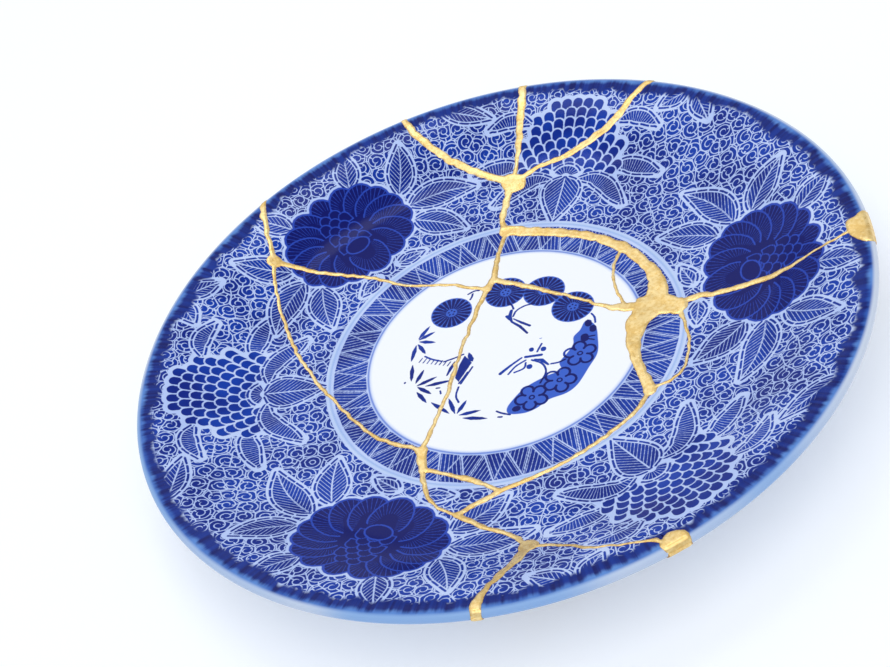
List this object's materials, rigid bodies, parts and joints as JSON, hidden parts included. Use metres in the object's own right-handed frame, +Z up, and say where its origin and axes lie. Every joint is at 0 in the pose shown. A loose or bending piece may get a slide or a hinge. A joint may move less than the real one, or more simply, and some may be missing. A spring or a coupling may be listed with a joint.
{
  "type": "kintsugi dish",
  "caption": "Round blue and white porcelain dish on a foot ring, broken and mended with raised gold lacquer seams.",
  "frame": {"origin": "middle of the foot ring's resting face, on the surface that the dish stands on", "axes": "+Z up out of the dish, +Y to the side where three seams reach the rim close together, +X to the large gold chip in the lip"},
  "size_m": [0.2703, 0.2701, 0.0306],
  "materials": {
    "porcelain": "glazed porcelain with cobalt blue underglaze print",
    "gold_lacquer": "powdered gold over lacquer, burnished, slightly uneven"
  },
  "bodies": {
    "root": {"shard_rim_north_left": "porcelain", "shard_rim_north_right": "porcelain", "shard_wall_north_east": "porcelain", "shard_wall_south_east": "porcelain", "shard_rim_south": "porcelain", "shard_wall_south_west": "porcelain", "shard_wall_north_west": "porcelain", "shard_well_west": "porcelain", "shard_well_north": "porcelain", "shard_well_sliver": "porcelain", "shard_well_centre": "porcelain", "shard_well_east": "porcelain", "shard_band_triangle": "porcelain", "gold_seam": "gold_lacquer"}
  },
  "joints": []
}
